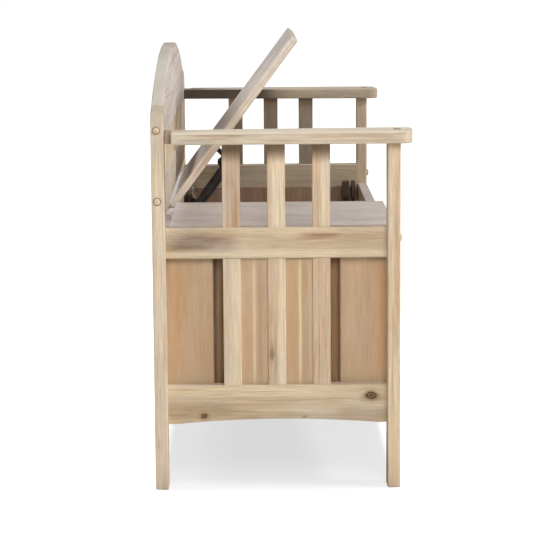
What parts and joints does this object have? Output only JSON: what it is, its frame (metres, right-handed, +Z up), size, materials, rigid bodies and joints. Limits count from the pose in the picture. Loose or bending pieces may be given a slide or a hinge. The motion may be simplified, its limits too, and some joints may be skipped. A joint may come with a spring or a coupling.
{
  "type": "settle bench",
  "caption": "Wooden settle bench with slatted arms, an arched slatted back and a storage box under a split, hinged seat held open by folding stays.",
  "frame": {"origin": "centre of the footprint on the floor: the bottom centre of the bounding box", "axes": "+X along the bench to the sitter-facing right end as seen from in front, +Y to the back, +Z up"},
  "size_m": [1.127, 0.4648, 0.7844],
  "materials": {
    "limed_wood": "limed, matt, open-grained hardwood",
    "panel_wood": "limed veneer board, darker, matt",
    "plug_wood": "turned hardwood plug, satin",
    "zinc_steel": "zinc-plated, slightly dull",
    "dark_steel": "dark grey coated steel, satin",
    "damper_plastic": "black damper sleeve, satin"
  },
  "bodies": {
    "root": {"arm_plugs": "plug_wood", "arm_screws": "zinc_steel", "arm_slats_left": "limed_wood", "arm_slats_right": "limed_wood", "armrest_left": "limed_wood", "armrest_right": "limed_wood", "back_post_left": "limed_wood", "back_post_right": "limed_wood", "back_slats": "limed_wood", "box_back_bottom_rail": "limed_wood", "box_back_panel": "panel_wood", "box_back_top_rail": "limed_wood", "box_floor": "panel_wood", "center_bearer": "limed_wood", "crest_rail": "limed_wood", "floor_cleats": "panel_wood", "frame_screws": "zinc_steel", "front_boards": "panel_wood", "front_center_stile": "limed_wood", "front_lower_rail": "limed_wood", "front_panel": "panel_wood", "front_post_left": "limed_wood", "front_post_right": "limed_wood", "front_slats": "limed_wood", "front_top_rail": "limed_wood", "hinge_fixed_leaves": "zinc_steel", "hinge_pins": "zinc_steel", "joint_bolts": "zinc_steel", "lid_rests": "panel_wood", "lower_back_rail": "limed_wood", "lower_side_rail_left": "limed_wood", "lower_side_rail_right": "limed_wood", "panel_slats_left": "limed_wood", "panel_slats_right": "limed_wood", "post_plugs": "plug_wood", "seat_side_rail_left": "limed_wood", "seat_side_rail_right": "limed_wood", "side_boards_left": "panel_wood", "side_boards_right": "panel_wood", "side_panel_left": "panel_wood", "side_panel_right": "panel_wood", "stay_bases": "zinc_steel"},
    "lid_left_body": {"lid_left": "limed_wood", "hinge_lid_leaves_left": "zinc_steel", "lid_screws_left": "zinc_steel", "stay_lid_bracket_left": "dark_steel"},
    "stay_arm_left_body": {"stay_arm_left": "dark_steel", "stay_damper_left": "damper_plastic", "stay_elbow_pin_left": "dark_steel"},
    "stay_link_left_body": {"stay_link_left": "dark_steel"},
    "lid_right_body": {"lid_right": "limed_wood", "hinge_lid_leaves_right": "zinc_steel", "lid_screws_right": "zinc_steel", "stay_lid_bracket_right": "dark_steel"},
    "stay_arm_right_body": {"stay_arm_right": "dark_steel", "stay_damper_right": "damper_plastic", "stay_elbow_pin_right": "dark_steel"},
    "stay_link_right_body": {"stay_link_right": "dark_steel"}
  },
  "joints": [
    {"name": "lid_hinge_left", "type": "hinge", "parent": "root", "child": "lid_left_body", "pos_m": [-0.238, 0.214, 0.4335], "axis": [-1, 0, 0], "range_deg": [0, 53.2]},
    {"name": "stay_arm_pivot_left", "type": "hinge", "parent": "root", "child": "stay_arm_left_body", "pos_m": [-0.463, 0.197, 0.3985], "axis": [-1, 0, 0], "range_deg": [-1, 54.2]},
    {"name": "stay_elbow_left", "type": "hinge", "parent": "stay_arm_left_body", "child": "stay_link_left_body", "pos_m": [-0.459, 0.084, 0.3892], "axis": [-1, 0, 0], "range_deg": [-54.2, 1]},
    {"name": "lid_hinge_right", "type": "hinge", "parent": "root", "child": "lid_right_body", "pos_m": [0.238, 0.214, 0.4335], "axis": [-1, 0, 0], "range_deg": [-53.2, 0]},
    {"name": "stay_arm_pivot_right", "type": "hinge", "parent": "root", "child": "stay_arm_right_body", "pos_m": [0.463, 0.197, 0.3985], "axis": [-1, 0, 0], "range_deg": [-54.2, 1]},
    {"name": "stay_elbow_right", "type": "hinge", "parent": "stay_arm_right_body", "child": "stay_link_right_body", "pos_m": [0.459, 0.12186, 0.48341], "axis": [-1, 0, 0], "range_deg": [-1, 54.2]}
  ],
  "couplings": [
    {"joint": "stay_arm_pivot_left", "follows": "lid_hinge_left", "ratio": 1},
    {"joint": "stay_elbow_left", "follows": "lid_hinge_left", "ratio": -1},
    {"joint": "stay_arm_pivot_right", "follows": "lid_hinge_right", "ratio": 1},
    {"joint": "stay_elbow_right", "follows": "lid_hinge_right", "ratio": -1}
  ]
}
